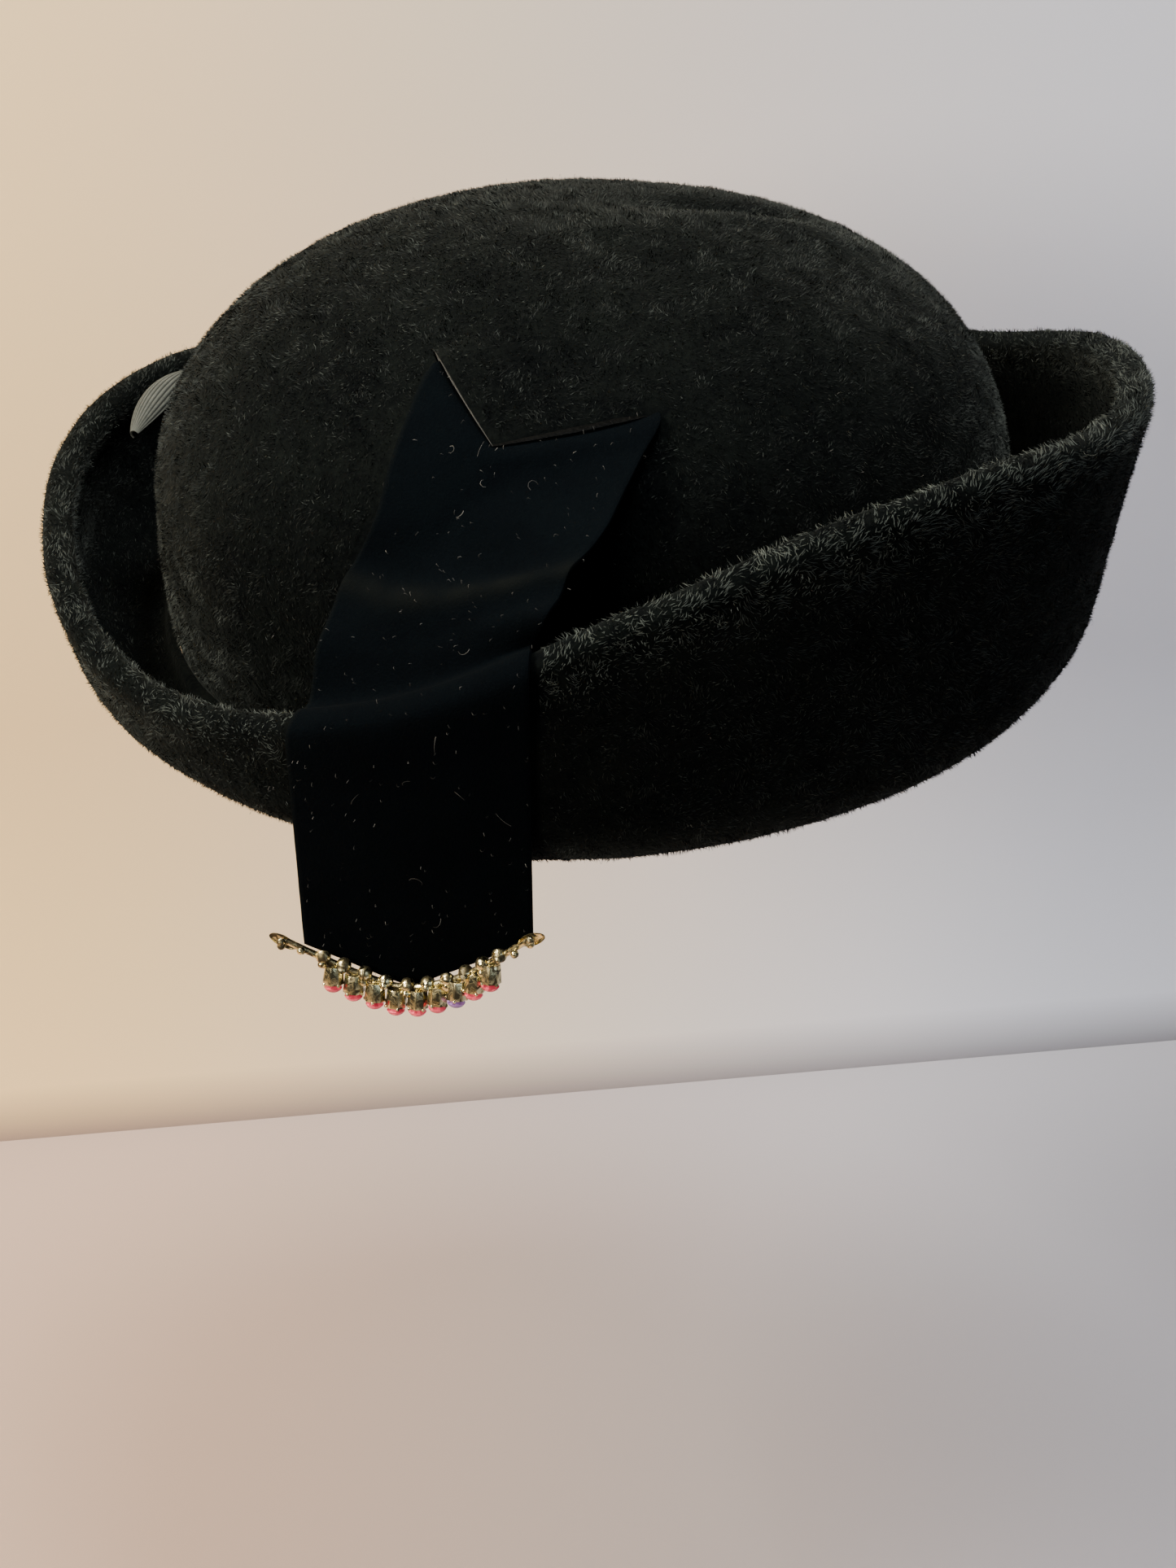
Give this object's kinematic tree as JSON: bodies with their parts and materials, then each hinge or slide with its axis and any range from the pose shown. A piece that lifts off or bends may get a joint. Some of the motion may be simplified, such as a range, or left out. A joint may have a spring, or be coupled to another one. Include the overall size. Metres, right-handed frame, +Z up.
{
  "type": "felt hat",
  "caption": "Soft round-crowned velour felt hat with a brim turned up all round, a velvet ribbon let through a V slit in the crown and hung over the brim, and a set-stone jewel on its end.",
  "frame": {"origin": "middle of the head opening, on the plane where the crown meets the brim and the head goes in", "axes": "+Z up through the crown, as the hat is worn; the wearer looks along -Y and the wearer's right side, with the ribbon, is -X"},
  "size_m": [0.2202, 0.2561, 0.1382],
  "materials": {
    "velour_felt": "long-napped black velour fur felt",
    "velvet": "black velvet with a blue cast",
    "grosgrain": "faded grey ribbed ribbon",
    "gilt_setting": "pale gilt, polished",
    "pink_glass": "cut pink-red glass, iridescent"
  },
  "bodies": {
    "root": {"crown": "velour_felt", "brim": "velour_felt", "ribbon": "velvet", "grosgrain_loop": "grosgrain", "jewel_setting": "gilt_setting", "stone_1": "pink_glass", "stone_2": "pink_glass", "stone_3": "pink_glass", "stone_4": "pink_glass", "stone_5": "pink_glass", "stone_6": "pink_glass", "stone_7": "pink_glass", "stone_8": "pink_glass", "stone_9": "pink_glass"}
  },
  "joints": []
}
